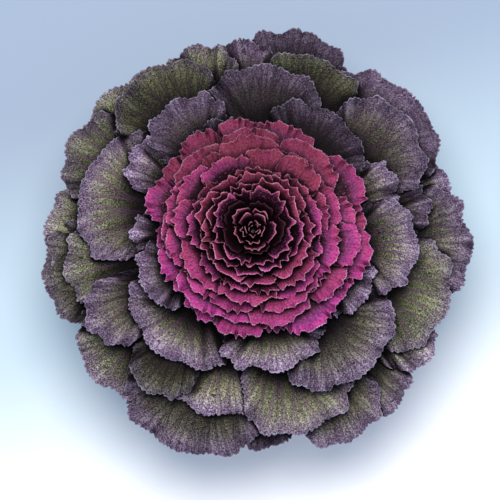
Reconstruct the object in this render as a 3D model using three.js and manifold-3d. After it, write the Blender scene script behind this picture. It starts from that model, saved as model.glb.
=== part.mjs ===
// Ornamental kale in a clay pot: a low rosette of waved leaves round a short stem.
//
// Frame: millimetres, +Z up. The origin is the centre of the pot's flat underside.
// Azimuths are degrees counter-clockwise from +X, seen from above.
//
// The leaves stand in whorls. Each whorl is seated in a ring on the stem, and each leaf
// follows a midrib curve from its seat to its tip. The curves of one whorl lie above those
// of the whorl below along their whole length, so the blades nest like bowls.

import * as THREE from 'three';
import { mergeVertices } from 'three/addons/utils/BufferGeometryUtils.js';
import Module from 'manifold-3d';

// ---------------------------------------------------------------- driving dimensions

const POT_HEIGHT = 124;
const POT_BASE_RADIUS = 54;
const POT_TOP_RADIUS = 71;
const POT_RIM_RADIUS = 76;
const POT_RIM_HEIGHT = 30;
const POT_WALL = 6;
const POT_FLOOR = 8;
const POT_EDGE = 2;
const POT_LIP = 1;
const POT_SEGMENTS = 32;

const DRAIN_RADIUS = 6;
const DRAIN_RING_RADIUS = 28;
const DRAIN_COUNT = 4;
const DRAIN_SEGMENTS = 8;

// The soil surface stands below the pot's rim and falls a little from the stem to the wall.
const SOIL_HEIGHT = 110;
const SOIL_FALL = 3;
const SOIL_SHOULDER_RADIUS = 43;
const SOIL_SHOULDER_FALL = 1;

// Pieces that touch keep this clearance.
const FIT_GAP = 0.3;

const ROOT_DEPTH = 55;
const CROWN_DEPTH = 20;
const STEM_SEGMENTS = 16;
const CORE_SEGMENTS = 9;
// Stem radius at heights above the soil, tapering from the root crown to the growing tip.
const STEM_PROFILE = [
  [-ROOT_DEPTH, 7],
  [-CROWN_DEPTH, 13],
  [0, 16],
  [30, 15.5],
  [44, 14],
  [60, 12],
  [75, 9.5],
  [88, 6.5],
  [98, 3],
  [101, 1],
];

// The rosette by whorl number: seat height above the soil, angle at which the midribs
// leave the stem, radius and height above the soil of the rims, and slope at the rims.
const ROSETTE = [
  { whorl: 0, seat: 11, seatAngle: 26, radius: 175, height: 22, slope: -20 },
  { whorl: 2, seat: 28, seatAngle: 38, radius: 132, height: 56, slope: -12 },
  { whorl: 4, seat: 43, seatAngle: 50, radius: 92, height: 82, slope: 0 },
  { whorl: 5, seat: 50, seatAngle: 56, radius: 81, height: 92, slope: 5 },
  { whorl: 7, seat: 60, seatAngle: 63, radius: 65, height: 104, slope: 18 },
  { whorl: 9, seat: 69, seatAngle: 70, radius: 45, height: 112, slope: 36 },
  { whorl: 11, seat: 77, seatAngle: 75, radius: 31, height: 117, slope: 54 },
  { whorl: 13, seat: 85, seatAngle: 80, radius: 18, height: 118, slope: 70 },
  { whorl: 15, seat: 94, seatAngle: 88, radius: 6, height: 114, slope: 92 },
];
const MIDRIB_BOW = 0.36;
// Rims steeper than this keep their whorl's radius, as their reach is nearly upright.
const STEEP_SLOPE = 60;

// One list for each whorl, from the lowest up. A leaf is its azimuth, its half width in
// degrees, its reach from the axis, and its turn: 0 under its neighbours, 1 over them.
const WHORLS = [
  [
    [20, 12, 171, 0], [43, 20, 181, 1], [77, 16, 181, 0], [92, 9, 172, 1],
    [104, 10, 173, 0], [136, 15, 173, 0], [156, 13, 169, 1], [177, 12, 174, 0],
    [194, 15, 174, 1], [221, 17, 174, 0], [251, 20, 181, 1], [271, 13, 168, 0],
    [296, 15, 179, 1], [314, 13, 181, 0], [326, 8, 172, 1], [0, 15, 178, 1],
  ],
  [
    [37, 19, 164, 1], [73, 16, 164, 0], [119, 16, 162, 1], [134, 11, 152, 0],
    [161, 26, 148, 1], [189, 12, 156, 0], [208, 11, 152, 1], [235, 13, 162, 1],
    [255, 20, 146, 0], [286, 19, 163, 1], [340, 20, 171, 0], [12, 10, 150, 0],
  ],
  [
    [84, 20, 146, 0], [57, 25, 124, 1], [120, 18, 132, 1], [144, 13, 124, 0],
    [229, 29, 122, 0], [310, 25, 143, 1], [356, 20, 135, 1], [23, 12, 129, 0],
  ],
  [
    [179, 14, 100, 0], [204, 21, 100, 1], [281, 27, 112, 0], [333, 18, 107, 0],
    [110, 16, 103, 0],
  ],
  [
    [6, 14, 92, 0], [29, 17, 99, 1], [72, 18, 95, 1], [98, 12, 97, 0],
    [121, 12, 96, 1], [140, 13, 91, 0], [159, 13, 92, 1], [180, 13, 79, 0],
    [204, 17, 81, 1], [237, 15, 82, 0], [262, 16, 86, 1], [285, 9, 83, 0],
    [308, 20, 93, 1], [335, 14, 91, 0], [348, 14, 98, 1],
  ],
  [
    [51, 21, 86, 1], [92, 18, 86, 0], [129, 20, 81, 1], [178, 22, 74, 0],
    [231, 21, 77, 1], [263, 16, 75, 0], [289, 21, 79, 1], [330, 18, 81, 0],
    [352, 13, 83, 1], [10, 13, 78, 0],
  ],
  [
    [22, 19, 77, 0], [56, 20, 72, 0], [92, 21, 78, 1], [119, 13, 72, 0],
    [156, 21, 73, 1], [188, 20, 71, 0], [225, 16, 68, 1], [253, 18, 68, 0],
    [300, 25, 70, 1], [323, 13, 68, 0], [345, 21, 68, 1],
  ],
  [
    [50, 18, 70, 1], [76, 21, 68, 0], [114, 23, 63, 1], [143, 19, 69, 0],
    [170, 16, 65, 1], [211, 30, 62, 0], [266, 28, 60, 1], [312, 24, 62, 0],
    [20, 21, 63, 0],
  ],
  [
    [318, 24, 56, 1], [173, 25, 53, 1], [139, 13, 54, 0], [225, 22, 51, 0],
    [254, 14, 51, 1], [285, 22, 53, 0], [84, 31, 51, 1], [40, 22, 52, 0],
    [12, 20, 50, 1], [346, 14, 51, 0],
  ],
  [
    [46, 32, 45, 0], [86, 22, 45, 1], [121, 22, 46, 0], [156, 22, 46, 1],
    [200, 26, 43, 0], [240, 22, 44, 1], [276, 25, 46, 0], [321, 26, 44, 1],
    [355, 20, 43, 0],
  ],
  [
    [50, 37, 40, 1], [104, 31, 37, 0], [150, 26, 38, 1], [182, 22, 40, 0],
    [222, 24, 37, 1], [263, 22, 38, 0], [306, 26, 37, 1], [352, 33, 38, 0],
  ],
  [
    [20, 26, 32, 0], [62, 29, 32, 1], [104, 26, 31, 0], [148, 26, 32, 1],
    [188, 22, 31, 0], [234, 29, 30, 1], [288, 31, 30, 0], [331, 26, 32, 1],
  ],
];

// Towards the growing tip the leaves follow in fives, turned on by the golden angle.
const TIP_WHORLS = 3;
const TIP_LEAVES = 5;
const TIP_HALF_WIDTH = 38;
const GOLDEN_ANGLE = 137.5;

// Whorls are grey-purple and separate below OUTER_WHORLS, then magenta and separate below
// SEPARATE_WHORLS, then fused in the heart. Each leaf form ends before a whorl number.
const OUTER_WHORLS = 4;
const SEPARATE_WHORLS = 5;
const HEART_WHORLS = 9;
const BUD_WHORLS = 12;
const FORM_ENDS = [
  [OUTER_WHORLS, 'outer'],
  [SEPARATE_WHORLS, 'inner'],
  [HEART_WHORLS, 'heart'],
  [BUD_WHORLS, 'bud'],
  [BUD_WHORLS + TIP_WHORLS, 'tip'],
];

// Leaf forms. Rows run from the seat at -1, over the foot of the blade at 0, to the rim at
// 1, each with its count of columns across. petioleEnd and centre are places along the
// midrib. sweep is how far, in degrees, the rim comes round the centre towards the petiole,
// and roundness is the power of the rim's outline, 2 for an ellipse. wave is how far the rim
// rises and falls, notch the depth of its teeth, and camber how far its sides bend up.
const LEAF_FORMS = {
  outer: {
    rows: [[-1, 2], [0, 2], [0.28, 4], [0.64, 8], [1, 16]],
    petioleEnd: 0.36, centre: 0.64, sweep: 122, roundness: 2.3,
    petioleWidth: 8, petioleDepth: 3.8, bladeDepth: 1, ribDepth: 1,
    wave: 2.1, notch: 3.2, camber: 1.2,
  },
  inner: {
    rows: [[-1, 2], [0.2, 4], [0.6, 8], [1, 16]],
    petioleEnd: 0.14, centre: 0.52, sweep: 118, roundness: 2.8,
    petioleWidth: 9, petioleDepth: 1.7, bladeDepth: 0.9, ribDepth: 0.5,
    wave: 1.3, notch: 2, camber: 0.6,
  },
  heart: {
    rows: [[-1, 1], [0.25, 3], [0.65, 6], [1, 12]],
    petioleEnd: 0.14, centre: 0.52, sweep: 112, roundness: 2.8,
    petioleWidth: 7, petioleDepth: 1.3, bladeDepth: 0.8, ribDepth: 0.3,
    wave: 1.1, notch: 1.8, camber: 0.5,
  },
  bud: {
    rows: [[-1, 1], [0.5, 3], [1, 7]],
    petioleEnd: 0.14, centre: 0.55, sweep: 105, roundness: 2.8,
    petioleWidth: 5, petioleDepth: 0.9, bladeDepth: 0.7, ribDepth: 0.1,
    wave: 0.8, notch: 1.2, camber: 0.3,
  },
  tip: {
    rows: [[-1, 1], [0.5, 2], [1, 5]],
    petioleEnd: 0.14, centre: 0.55, sweep: 105, roundness: 2.5,
    petioleWidth: 3, petioleDepth: 0.8, bladeDepth: 0.7, ribDepth: 0,
    wave: 0.5, notch: 0.8, camber: 0.2,
  },
};

// Share of a seat's width that a petiole fills, and how deep a fused leaf's root is sunk.
const SEAT_FILL = 0.8;
const ROOT_SINK = 2.5;
const LEAST_SEAT_RADIUS = 0.4;
// Share of a leaf's span within which it turns from its seat to its own azimuth.
const BEND_SHARE = 0.4;
// Along a leaf, where the thick petiole starts and ends thinning to the blade.
const PETIOLE_THINS = [-0.6, 0.35];
const RIB_NARROWNESS = 3;
// Sides of the leaves over their neighbours bend up, those under them bend down.
const CUP_OVER = 0.7;
const CUP_UNDER = -1;
// The rim's waves fade by this share at the sides of the blade.
const WAVE_FADE = 0.4;
// The least wave and the least notch, as shares of the form's, and the notches' unevenness.
const LEAST_WAVE = 0.35;
const LEAST_NOTCH = 0.4;
const NOTCH_UNEVENNESS = 0.5;

// Each leaf has a random stream of its own. Its first draws still show the seed's order.
const FIRST_SEED = 4711;
const SEED_STEP = 97;
const SKIPPED_DRAWS = 5;

// ---------------------------------------------------------------- small helpers

const radians = THREE.MathUtils.degToRad;

function randomStream(seed) {
  let state = seed;
  return () => {
    state = (state * 16807) % 2147483647;
    return state / 2147483647;
  };
}

// Straight-line reading of a list of stations, each with its key first or under keyName.
function interpolate(stations, key, keyName, valueName) {
  let low = stations[0];
  for (const high of stations.slice(1)) {
    if (key <= high[keyName] || high === stations.at(-1)) {
      const share = (key - low[keyName]) / (high[keyName] - low[keyName]);
      return low[valueName] + (high[valueName] - low[valueName]) * share;
    }
    low = high;
  }
  return low[valueName];
}

const rosette = (whorl, valueName) => interpolate(ROSETTE, whorl, 'whorl', valueName);
const stemRadius = (height) => interpolate(STEM_PROFILE, height, 0, 1);

function toManifold(geometry) {
  const bare = geometry.clone();
  bare.deleteAttribute('normal');
  bare.deleteAttribute('uv');
  const merged = mergeVertices(bare, 1e-4);
  return new wasm.Manifold(new wasm.Mesh({
    numProp: 3,
    vertProperties: new Float32Array(merged.attributes.position.array),
    triVerts: new Uint32Array(merged.index.array),
  }));
}

function toGeometry(manifold) {
  const mesh = manifold.getMesh();
  const geometry = new THREE.BufferGeometry();
  geometry.setAttribute('position', new THREE.BufferAttribute(mesh.vertProperties, 3));
  geometry.setIndex(new THREE.BufferAttribute(mesh.triVerts, 1));
  return geometry;
}

// A solid of revolution about Z from [radius, height] points that start and end on it.
function lathe(points, segments) {
  const profile = points.map(([radius, height]) => new THREE.Vector2(radius, height));
  return new THREE.LatheGeometry(profile, segments).rotateX(Math.PI / 2);
}

// ---------------------------------------------------------------- leaves

// The midrib is a cubic curve in the upright plane of [radius, height].
function midrib(form, whorl, turn, reach, sunk) {
  const seatHeight = rosette(whorl, 'seat');
  const seatRadius = stemRadius(seatHeight - form.petioleDepth) + (sunk ? -ROOT_SINK : FIT_GAP);
  const level = whorl + turn / 2;
  const slope = rosette(level, 'slope');
  const slide = Math.abs(slope) < STEEP_SLOPE ? reach - rosette(level, 'radius') : 0;
  const tip = new THREE.Vector2(
    rosette(level, 'radius') + slide,
    rosette(level, 'height') + slide * Math.tan(radians(slope)),
  );
  const seat = new THREE.Vector2(Math.max(seatRadius, LEAST_SEAT_RADIUS), seatHeight);
  const bow = MIDRIB_BOW * seat.distanceTo(tip);
  const first = direction(rosette(level, 'seatAngle')).multiplyScalar(bow).add(seat);
  first.y += rosette(level, 'seat') - seatHeight;
  const last = direction(slope).multiplyScalar(-bow).add(tip);
  return new THREE.CubicBezierCurve(seat, first, last, tip);
}

const direction = (angle) => new THREE.Vector2(Math.cos(radians(angle)), Math.sin(radians(angle)));
const signedPower = (value, power) => Math.sign(value) * Math.abs(value) ** power;

// Where a leaf's surface point lies: across from -1 to 1, along from -1 at the seat, over 0
// at the foot of the blade, to 1 at the rim. side is 1 for the upper face, -1 for the lower.
function leafPoint(leaf, across, along, side) {
  const { form, curve } = leaf;
  let place = form.petioleEnd * (along + 1);
  let turn = 0;
  const foot = Math.max(along, 0);
  const station = Math.round((across + 1) / 2 * (leaf.lifts.length - 1));
  const swing = radians(across * form.sweep);
  if (along > 0) {
    const rimPlace = form.centre + (1 - form.centre) * signedPower(Math.cos(swing), 2 / form.roundness);
    const ray = leaf.length * (1 - form.petioleEnd);
    const notch = 1 - form.notch * leaf.notches[station] / ray * along ** 3;
    place = form.petioleEnd + (rimPlace - form.petioleEnd) * along * notch;
    turn = leaf.halfWidth * signedPower(Math.sin(swing), 2 / form.roundness) * along * notch;
  }
  const spine = curve.getPoint(Math.min(place, 1));
  const tangent = curve.getTangent(Math.min(place, 1));
  spine.addScaledVector(tangent, Math.max(place - 1, 0) * leaf.length);
  const petioleTurn = across * leaf.petioleWidth / 2 / spine.x * (1 - foot);
  const bend = THREE.MathUtils.smoothstep(spine.x, curve.v0.x, leaf.straightFrom);
  const azimuth = radians(leaf.seatAzimuth + leaf.bendAngle * bend) + petioleTurn + turn;
  const lift = form.wave * leaf.lifts[station] * foot ** 2 * (1 - WAVE_FADE * across ** 2)
    + form.camber * leaf.cupping * across ** 2 * foot;
  const petioleShare = 1 - THREE.MathUtils.smoothstep(along, ...PETIOLE_THINS);
  const ribShare = side < 0 ? Math.max(0, 1 - RIB_NARROWNESS * Math.abs(across)) : 0;
  const rib = form.ribDepth * ribShare * (1 - foot);
  const depth = form.bladeDepth / 2 + (form.petioleDepth - form.bladeDepth) / 2 * petioleShare + rib;
  const offset = lift + side * depth;
  // A separate leaf's end face is upright, to lie along the stem.
  const upright = along === -1 && !leaf.sunk;
  const radius = upright ? spine.x : spine.x - tangent.y * offset;
  const height = spine.y + (upright ? offset / tangent.x : tangent.x * offset);
  return [
    Math.cos(azimuth) * radius,
    Math.sin(azimuth) * radius,
    SOIL_HEIGHT + height,
  ];
}

// A closed blade: the same triangles on both faces, joined by a wall round the edge.
function leafGeometry(leaf) {
  const positions = [];
  const indices = [];
  const rows = leaf.form.rows.map(([along, columns]) => {
    const row = [];
    for (let column = 0; column <= columns; column += 1) {
      const across = -1 + 2 * column / columns;
      row.push(positions.length / 3);
      positions.push(...leafPoint(leaf, across, along, 1));
      positions.push(...leafPoint(leaf, across, along, -1));
    }
    return row;
  });
  const addFace = (a, b, c) => indices.push(a, b, c, c + 1, b + 1, a + 1);
  for (let index = 1; index < rows.length; index += 1) {
    const [inner, outer] = [rows[index - 1], rows[index]];
    let [i, o] = [0, 0];
    while (i < inner.length - 1 || o < outer.length - 1) {
      const innerNext = (i + 1) / (inner.length - 1);
      const outerNext = (o + 1) / (outer.length - 1);
      if (o === outer.length - 1 || (i < inner.length - 1 && innerNext < outerNext)) {
        addFace(inner[i], outer[o], inner[i + 1]);
        i += 1;
      } else {
        addFace(inner[i], outer[o], outer[o + 1]);
        o += 1;
      }
    }
  }
  const edge = [
    ...rows[0].slice().reverse(),
    ...rows.slice(1, -1).map((row) => row[0]),
    ...rows.at(-1),
    ...rows.slice(1, -1).reverse().map((row) => row.at(-1)),
  ];
  edge.forEach((vertex, index) => {
    const next = edge[(index + 1) % edge.length];
    indices.push(vertex, vertex + 1, next, next, vertex + 1, next + 1);
  });
  const geometry = new THREE.BufferGeometry();
  geometry.setAttribute('position', new THREE.Float32BufferAttribute(positions, 3));
  geometry.setIndex(indices);
  return geometry;
}

const between = (least, share) => least + (1 - least) * share;
const shortestTurn = (from, to) => ((to - from + 540) % 360) - 180;

function makeLeaves() {
  const leaves = [];
  const tipWhorls = Array.from({ length: TIP_WHORLS }, (_, index) => {
    const whorl = WHORLS.length + index;
    return Array.from({ length: TIP_LEAVES }, (__, number) => [
      (GOLDEN_ANGLE * whorl + number * 360 / TIP_LEAVES) % 360,
      TIP_HALF_WIDTH,
      rosette(whorl, 'radius'),
      number % 2,
    ]);
  });
  [...WHORLS, ...tipWhorls].forEach((whorlLeaves, whorl) => {
    const form = LEAF_FORMS[FORM_ENDS.find(([end]) => whorl < end)[1]];
    const sorted = [...whorlLeaves].sort((a, b) => a[0] - b[0]);
    const pitch = 360 / sorted.length;
    const start = sorted.reduce((sum, [azimuth], index) => sum + azimuth - index * pitch, 0)
      / sorted.length;
    sorted.forEach(([azimuth, halfWidth, reach, turn], index) => {
      const sunk = whorl >= SEPARATE_WHORLS;
      const random = randomStream(FIRST_SEED + SEED_STEP * leaves.length);
      for (let skip = 0; skip < SKIPPED_DRAWS; skip += 1) random();
      const columns = form.rows.at(-1)[1];
      const stations = Array.from({ length: columns + 1 }, (_, station) => station);
      const curve = midrib(form, whorl, turn, reach, sunk);
      const seatAzimuth = start + index * pitch;
      leaves.push({
        name: `${whorl < OUTER_WHORLS ? 'outer' : 'inner'}_leaf_${whorl + 1}_${index + 1}`,
        whorl,
        form,
        sunk,
        curve,
        length: curve.getLength(),
        halfWidth: radians(halfWidth),
        cupping: turn ? CUP_OVER : CUP_UNDER,
        seatAzimuth,
        bendAngle: shortestTurn(seatAzimuth, azimuth),
        straightFrom: curve.v0.x + BEND_SHARE * (curve.v3.x - curve.v0.x),
        petioleWidth: Math.min(form.petioleWidth, SEAT_FILL * radians(pitch) * curve.v0.x),
        lifts: stations.map((station) => (station % 2 ? -1 : 1) * between(LEAST_WAVE, random())),
        notches: stations.map((station) => (
          (station % 2) * between(LEAST_NOTCH, random()) + NOTCH_UNEVENNESS * random()
        )),
      });
    });
  });
  return leaves;
}

// ---------------------------------------------------------------- pot, soil, stem

function potGeometry() {
  const rimFoot = POT_HEIGHT - POT_RIM_HEIGHT;
  const outside = [
    [0, 0],
    [POT_BASE_RADIUS - POT_EDGE, 0],
    [POT_BASE_RADIUS, POT_EDGE],
    [POT_TOP_RADIUS, rimFoot],
    [POT_RIM_RADIUS - POT_EDGE, rimFoot],
    [POT_RIM_RADIUS - POT_LIP, rimFoot + POT_EDGE],
    [POT_RIM_RADIUS, POT_HEIGHT - POT_EDGE],
    [POT_RIM_RADIUS - POT_EDGE, POT_HEIGHT],
    [POT_RIM_RADIUS - POT_WALL, POT_HEIGHT],
  ];
  const inside = [
    [potInsideRadius(POT_HEIGHT - POT_EDGE), POT_HEIGHT - POT_EDGE],
    [potInsideRadius(POT_FLOOR), POT_FLOOR],
    [0, POT_FLOOR],
  ];
  let pot = toManifold(lathe([...outside, ...inside], POT_SEGMENTS));
  for (let index = 0; index < DRAIN_COUNT; index += 1) {
    const angle = (index + 0.5) * 2 * Math.PI / DRAIN_COUNT;
    const drain = new THREE.CylinderGeometry(DRAIN_RADIUS, DRAIN_RADIUS, 3 * POT_FLOOR, DRAIN_SEGMENTS)
      .rotateX(Math.PI / 2)
      .translate(DRAIN_RING_RADIUS * Math.cos(angle), DRAIN_RING_RADIUS * Math.sin(angle), 0);
    pot = pot.subtract(toManifold(drain));
  }
  return toGeometry(pot);
}

function potInsideRadius(height) {
  const share = (height - POT_FLOOR) / (POT_HEIGHT - POT_EDGE - POT_FLOOR);
  const low = POT_BASE_RADIUS - POT_WALL;
  return low + (POT_RIM_RADIUS - POT_WALL - POT_LIP - low) * share;
}

function soilGeometry() {
  const bottom = POT_FLOOR + FIT_GAP;
  const wall = (height) => potInsideRadius(height) - FIT_GAP;
  const hole = (height) => stemRadius(height - SOIL_HEIGHT) + FIT_GAP;
  const holeFloor = SOIL_HEIGHT - ROOT_DEPTH - FIT_GAP;
  return lathe([
    [0, bottom],
    [wall(bottom), bottom],
    [wall(SOIL_HEIGHT - SOIL_FALL), SOIL_HEIGHT - SOIL_FALL],
    [SOIL_SHOULDER_RADIUS, SOIL_HEIGHT - SOIL_SHOULDER_FALL],
    [hole(SOIL_HEIGHT), SOIL_HEIGHT],
    [hole(SOIL_HEIGHT - CROWN_DEPTH), SOIL_HEIGHT - CROWN_DEPTH],
    [hole(SOIL_HEIGHT - ROOT_DEPTH), holeFloor],
    [0, holeFloor],
  ], POT_SEGMENTS);
}

function stemGeometry(from, to, lift, segments) {
  const stations = STEM_PROFILE.map(([height]) => height).filter((height) => height > from && height < to);
  const heights = [from, ...stations, to];
  return lathe([
    [0, SOIL_HEIGHT + from + lift],
    ...heights.map((height, index) => [stemRadius(height), SOIL_HEIGHT + height + (index ? 0 : lift)]),
    [0, SOIL_HEIGHT + to],
  ], segments);
}

// ---------------------------------------------------------------- assembly

const wasm = await Module();
wasm.setup();

const clay = { color: 0xb5694a, roughness: 0.9 };
const earth = { color: 0x2e231b, roughness: 1 };
const stalk = { color: 0x8f9a72, roughness: 0.7 };
const purpleGreen = { color: 0x6c6068, roughness: 0.75 };
const magenta = { color: 0xa3184f, roughness: 0.7 };

const kale = new THREE.Group();

function addPart(name, geometry, finish) {
  geometry.computeVertexNormals();
  const mesh = new THREE.Mesh(geometry, new THREE.MeshStandardMaterial({ metalness: 0, ...finish }));
  mesh.name = name;
  kale.add(mesh);
}

const leaves = makeLeaves();
const heartFoot = rosette(SEPARATE_WHORLS - 0.5, 'seat');

addPart('pot', potGeometry(), clay);
addPart('soil', soilGeometry(), earth);
addPart('stem', stemGeometry(-ROOT_DEPTH, heartFoot, 0, STEM_SEGMENTS), stalk);

for (const leaf of leaves.filter(({ whorl }) => whorl < SEPARATE_WHORLS)) {
  addPart(leaf.name, leafGeometry(leaf), leaf.whorl < OUTER_WHORLS ? purpleGreen : magenta);
}

let heart = toManifold(stemGeometry(heartFoot, STEM_PROFILE.at(-1)[0], FIT_GAP, CORE_SEGMENTS));
for (const leaf of leaves.filter(({ whorl }) => whorl >= SEPARATE_WHORLS)) {
  heart = heart.add(toManifold(leafGeometry(leaf)));
}
// A hollow sealed in among the blades is a piece of its own, and is filled by leaving it out.
const [largest] = heart.decompose().sort((a, b) => b.volume() - a.volume());
addPart('heart', toGeometry(largest), magenta);

export default kale;
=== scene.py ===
"""Ornamental kale in a clay pot: the finished leaves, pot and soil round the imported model.

Lengths are millimetres until a mesh is made, and +Z is up. Azimuths are degrees
counter-clockwise from +X, seen from above. A leaf's own coordinates are across, from -1 to 1,
and along, from -1 at the seat on the stem, over 0 at the foot of the blade, to 1 at the rim. Its fan
runs from -1 to 1 as across does, but evenly by the length of the rim.
"""

import math
from types import SimpleNamespace

import bpy
import numpy as np
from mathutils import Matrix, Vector


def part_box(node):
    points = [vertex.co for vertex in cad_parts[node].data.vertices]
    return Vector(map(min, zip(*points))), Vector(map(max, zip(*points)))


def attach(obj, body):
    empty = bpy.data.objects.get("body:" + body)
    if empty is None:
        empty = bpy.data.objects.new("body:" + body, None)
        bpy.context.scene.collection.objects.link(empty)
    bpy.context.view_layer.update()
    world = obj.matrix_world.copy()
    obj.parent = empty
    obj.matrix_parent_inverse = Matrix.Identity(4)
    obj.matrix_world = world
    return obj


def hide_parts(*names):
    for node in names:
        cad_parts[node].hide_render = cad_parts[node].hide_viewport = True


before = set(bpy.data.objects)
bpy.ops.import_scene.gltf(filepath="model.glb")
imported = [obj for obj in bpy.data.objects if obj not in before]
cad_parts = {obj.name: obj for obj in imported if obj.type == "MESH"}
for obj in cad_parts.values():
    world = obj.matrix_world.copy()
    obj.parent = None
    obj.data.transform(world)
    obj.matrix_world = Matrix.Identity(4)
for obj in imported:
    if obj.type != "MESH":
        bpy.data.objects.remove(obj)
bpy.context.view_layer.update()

MM = 0.001

# ---------------------------------------------------------------- driving dimensions

SOIL_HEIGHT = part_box("soil")[1].z / MM
POT_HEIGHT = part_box("pot")[1].z / MM
POT_RIM_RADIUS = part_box("pot")[1].x / MM
POT_BASE_RADIUS = 54
POT_TOP_RADIUS = 71
POT_RIM_HEIGHT = 30
POT_WALL = 6
POT_FLOOR = 8
POT_RIM_FLARE = 1
POT_ROUNDING = 2.5
DRAIN_RADIUS = 6
DRAIN_RING_RADIUS = 28
DRAIN_COUNT = 4
FIT_GAP = 0.3

# The soil falls towards the pot's wall. Its crust is uneven: (size, depth) of the swells.
SOIL_FALL = 3
SOIL_CRUST = 8
SOIL_SWELLS = [(40, 0.9), (24, 0.7), (13, 0.5), (7, 0.4), (5, 0.3)]
SOIL_SEED = 31

ROOT_DEPTH = 55
STEM_PROFILE = [
    (-ROOT_DEPTH, 7), (-20, 13), (0, 16), (30, 15.5), (44, 14),
    (60, 12), (75, 9.5), (88, 6.5), (98, 3), (101, 1),
]
STEM_TOP = STEM_PROFILE[-1][0]
SCAR_PITCH = 6
SCAR_DEPTH = 0.25

# The rosette by whorl number: seat height above the soil, angle at which the midribs
# leave the stem, radius and height above the soil of the rims, and slope at the rims.
ROSETTE = {
    "whorl": [0, 2, 4, 5, 7, 9, 11, 13, 15, 17],
    "seat": [11, 28, 43, 50, 60, 69, 77, 85, 94, 99],
    "seat_angle": [26, 38, 50, 56, 63, 70, 75, 80, 88, 89],
    "radius": [175, 132, 92, 81, 65, 45, 31, 18, 6, 1.5],
    "height": [22, 56, 82, 92, 104, 112, 117, 118, 114, 110],
    "slope": [-20, -12, 0, 5, 18, 36, 54, 70, 92, 96],
}
MIDRIB_BOW = 0.36
STEEP_SLOPE = 60

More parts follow.
